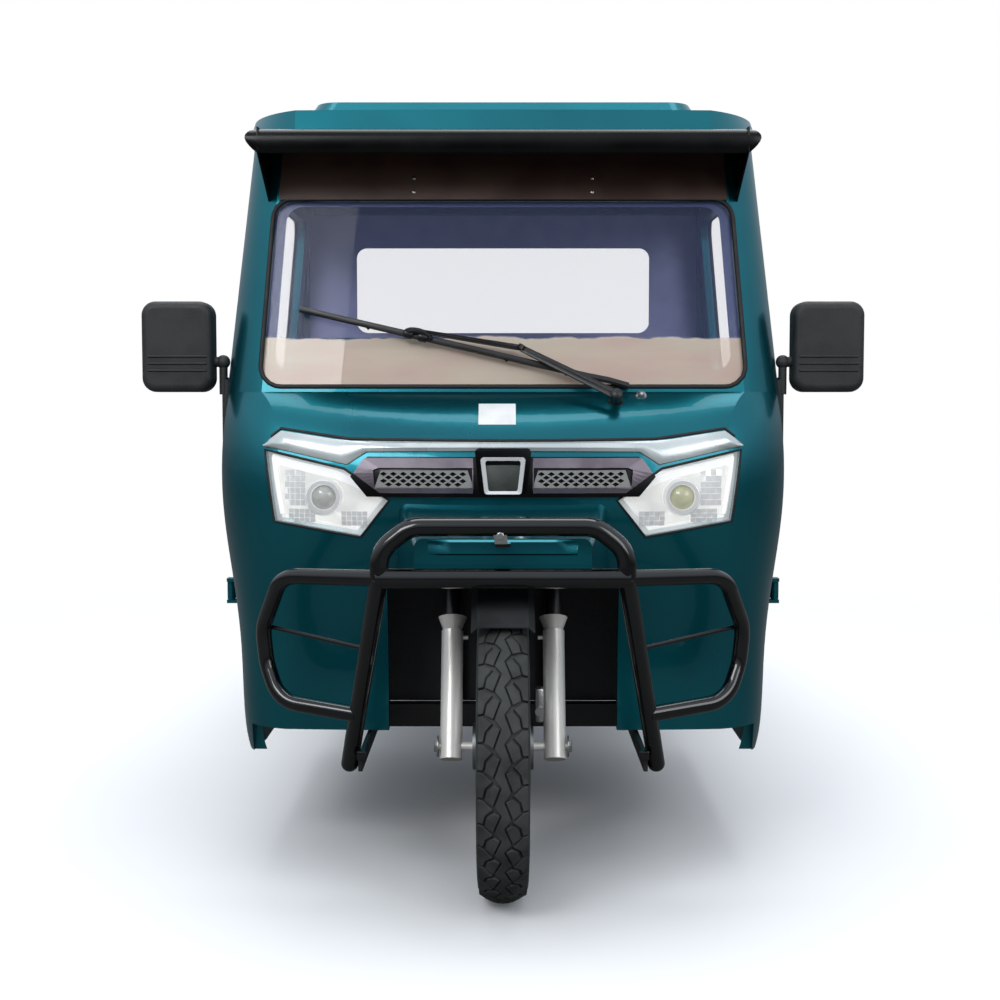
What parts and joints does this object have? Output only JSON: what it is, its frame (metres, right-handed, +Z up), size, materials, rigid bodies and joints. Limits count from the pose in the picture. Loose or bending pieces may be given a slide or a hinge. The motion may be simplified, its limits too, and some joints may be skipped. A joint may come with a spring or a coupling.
{
  "type": "enclosed electric tricycle",
  "caption": "Closed-cab electric tricycle with a steered front wheel, two hinged doors, rear drive axle on leaf springs and an open cargo bed with a drop tailgate.",
  "frame": {"origin": "on the ground, in the middle of the vehicle's length and width", "axes": "+Y to the rear along the length, +Z up, X across"},
  "size_m": [1.55, 3.16, 1.636],
  "materials": {
    "teal_paint": "glossy dark teal paint",
    "black_gloss": "glossy black plastic",
    "dark_panel": "dark brown-black panel",
    "tinted_glass": "lightly tinted windscreen glass",
    "clear_glass": "clear window glass",
    "reflector": "bright lamp reflector",
    "lamp_lens": "clear lamp lens",
    "mesh_metal": "grey diamond mesh",
    "badge_dark": "dark blank plate with a silver rim",
    "satin_silver": "satin silver painted trim",
    "black_textured": "grained black plastic",
    "black_satin_metal": "satin black paint",
    "black_tube": "glossy black tube paint",
    "cabin_plastic": "dark cabin plastic",
    "floor_rubber": "floor mat rubber",
    "cabin_steel": "dark painted steel",
    "seat_vinyl": "brown vinyl",
    "chassis_black": "black chassis paint",
    "battery_case": "battery case",
    "axle_iron": "black painted cast iron",
    "spring_steel": "dark spring steel",
    "red_lens": "red lamp lens",
    "fork_black": "satin black fork crowns",
    "fork_silver": "satin silver sliders",
    "bar_chrome": "chromed bar",
    "tyre_rubber": "dark grey tyre rubber",
    "rim_alloy": "cast alloy wheel",
    "rim_steel": "silver painted steel wheel"
  },
  "bodies": {
    "root": {"front_cowl": "teal_paint", "windscreen_frame": "teal_paint", "side_frames": "teal_paint", "back_panel": "teal_paint", "roof": "teal_paint", "cargo_bed": "teal_paint", "visor": "black_gloss", "header_panel": "dark_panel", "windscreen": "tinted_glass", "rear_window": "clear_glass", "headlamps": "reflector", "headlamp_lenses": "lamp_lens", "grille": "black_gloss", "grille_mesh": "mesh_metal", "badge_plate": "badge_dark", "brow_trim": "satin_silver", "mirrors": "black_textured", "wiper": "black_satin_metal", "guard_hoop": "black_tube", "guard_loops": "black_tube", "dashboard": "cabin_plastic", "floor_pan": "floor_rubber", "seat_base": "cabin_steel", "seat_cushion": "seat_vinyl", "seat_back": "seat_vinyl", "chassis": "chassis_black", "battery_box": "battery_case", "rear_axle": "axle_iron", "leaf_springs": "spring_steel", "rear_mudguards": "black_textured", "tail_lamps": "red_lens", "rear_bumper": "chassis_black"},
    "steering": {"fork_tubes": "fork_black", "fork_sliders": "fork_silver", "handlebar": "bar_chrome", "instrument_pod": "cabin_plastic", "front_mudguard": "black_textured"},
    "front_wheel": {"front_tyre": "tyre_rubber", "front_rim": "rim_alloy"},
    "rear_wheel_right": {"rear_tyre_right": "tyre_rubber", "rear_rim_right": "rim_steel"},
    "rear_wheel_left": {"rear_tyre_left": "tyre_rubber", "rear_rim_left": "rim_steel"},
    "door_right": {"door_right": "teal_paint", "door_glass_right": "clear_glass"},
    "door_left": {"door_left": "teal_paint", "door_glass_left": "clear_glass"},
    "tailgate": {"tailgate": "teal_paint"}
  },
  "joints": [
    {"name": "steer", "type": "hinge", "parent": "root", "child": "steering", "pos_m": [0, -1.24146, 0.28573], "axis": [0, 0.4067, 0.9135], "range_deg": [-35, 35]},
    {"name": "front_wheel_spin", "type": "hinge", "parent": "steering", "child": "front_wheel", "pos_m": [0, -1.278, 0.302], "axis": [1, 0, 0], "continuous": true},
    {"name": "rear_right_spin", "type": "hinge", "parent": "root", "child": "rear_wheel_right", "pos_m": [0.5, 0.852, 0.29], "axis": [1, 0, 0], "continuous": true},
    {"name": "rear_left_spin", "type": "hinge", "parent": "root", "child": "rear_wheel_left", "pos_m": [-0.5, 0.852, 0.29], "axis": [1, 0, 0], "continuous": true},
    {"name": "door_right_swing", "type": "hinge", "parent": "root", "child": "door_right", "pos_m": [0.614, -0.852, 0.9], "axis": [0, 0, -1], "range_deg": [0, 65]},
    {"name": "door_left_swing", "type": "hinge", "parent": "root", "child": "door_left", "pos_m": [-0.614, -0.852, 0.9], "axis": [0, 0, 1], "range_deg": [0, 65]},
    {"name": "tailgate_drop", "type": "hinge", "parent": "root", "child": "tailgate", "pos_m": [0, 1.527, 0.648], "axis": [-1, 0, 0], "range_deg": [0, 90]}
  ]
}
